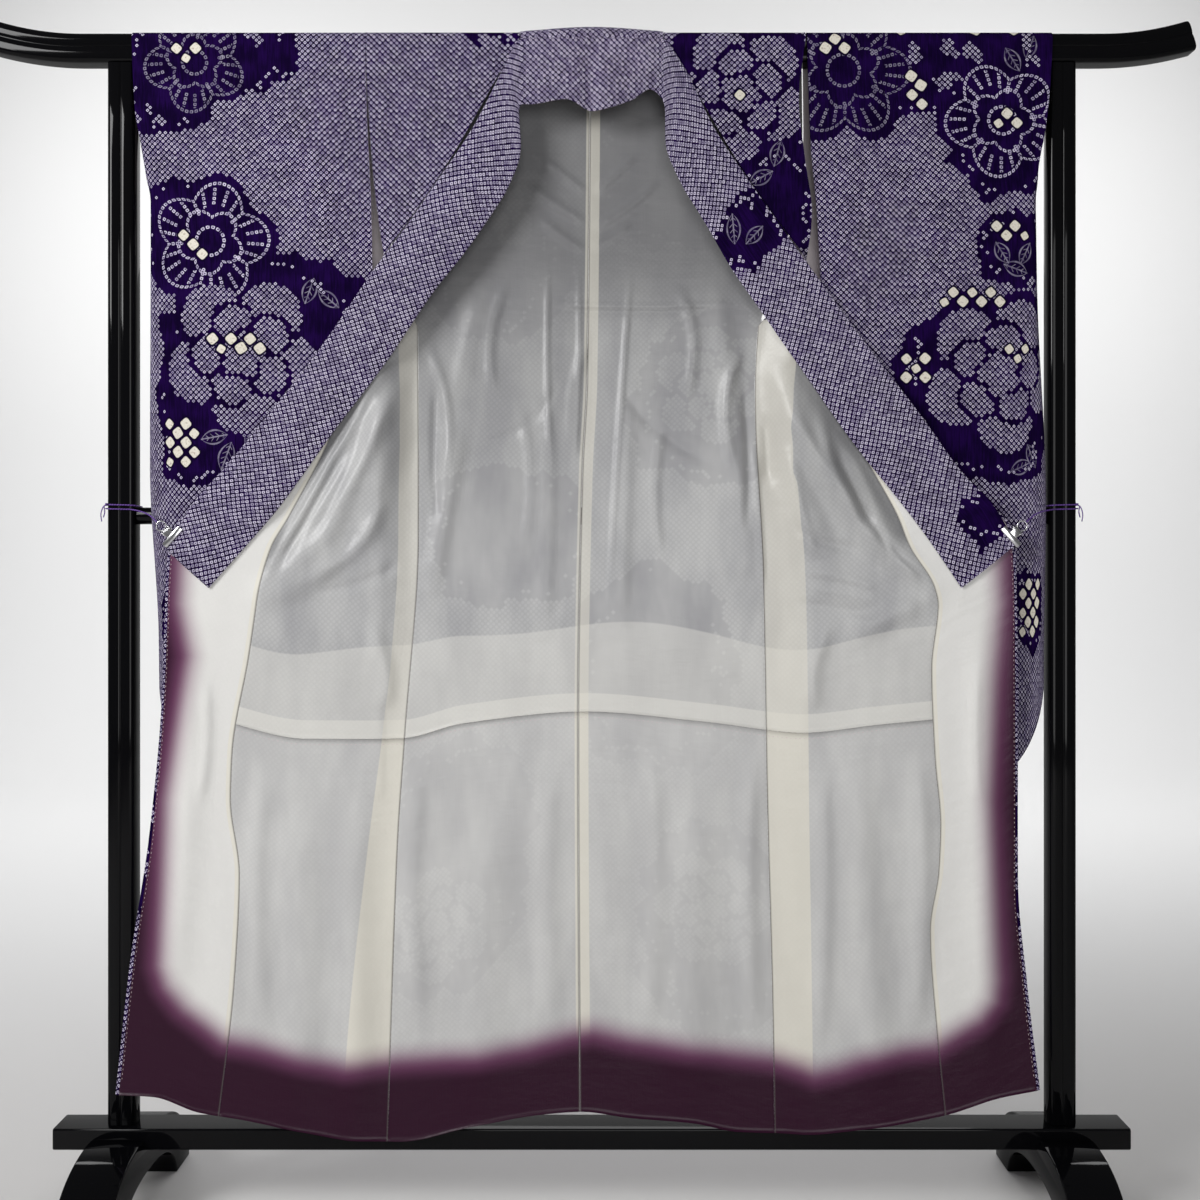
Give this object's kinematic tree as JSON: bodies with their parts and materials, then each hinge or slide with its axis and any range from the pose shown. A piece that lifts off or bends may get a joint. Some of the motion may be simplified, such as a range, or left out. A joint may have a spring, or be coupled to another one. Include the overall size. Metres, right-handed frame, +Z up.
{
  "type": "furisode kimono on a kimono stand",
  "caption": "Long-sleeved silk kimono in kanoko tie-dye, hung over the bar of a lacquered stand with its lined fronts clipped wide open.",
  "frame": {"origin": "on the floor, under the middle of the stand", "axes": "+X along the top bar to the right of someone facing the open fronts, -Y towards that person, +Z up"},
  "size_m": [1.7764, 0.37, 1.755],
  "materials": {
    "lacquer": "black gloss lacquer",
    "shell": "matt puckered silk, kanoko tie-dye in lavender on deep purple",
    "lining": "thin white silk with a satin sheen",
    "hem_lining": "white silk shaded to plum at the hem and the front edges",
    "chrome": "bright plated steel",
    "cord": "round braided purple cord"
  },
  "bodies": {
    "root": {"top_bar": "lacquer", "mid_rail": "lacquer", "base_rail": "lacquer", "post_left": "lacquer", "post_right": "lacquer", "foot_left": "lacquer", "foot_right": "lacquer", "back_left": "shell", "back_right": "shell", "front_left": "shell", "front_right": "shell", "gore_left": "shell", "gore_right": "shell", "sleeve_front_left": "shell", "sleeve_back_left": "shell", "sleeve_edge_left": "shell", "sleeve_front_right": "shell", "sleeve_back_right": "shell", "sleeve_edge_right": "shell", "collar_left": "shell", "collar_neck": "shell", "collar_right": "shell", "lining_back_left": "lining", "lining_back_right": "lining", "lining_front_left": "lining", "lining_front_right": "lining", "hem_back_left": "hem_lining", "hem_back_right": "hem_lining", "hem_front_left": "hem_lining", "hem_front_right": "hem_lining", "hem_gore_left": "hem_lining", "hem_gore_right": "hem_lining", "clip_left": "chrome", "clip_right": "chrome", "cord_left": "cord", "cord_right": "cord", "knot_left": "cord", "knot_right": "cord"}
  },
  "joints": []
}
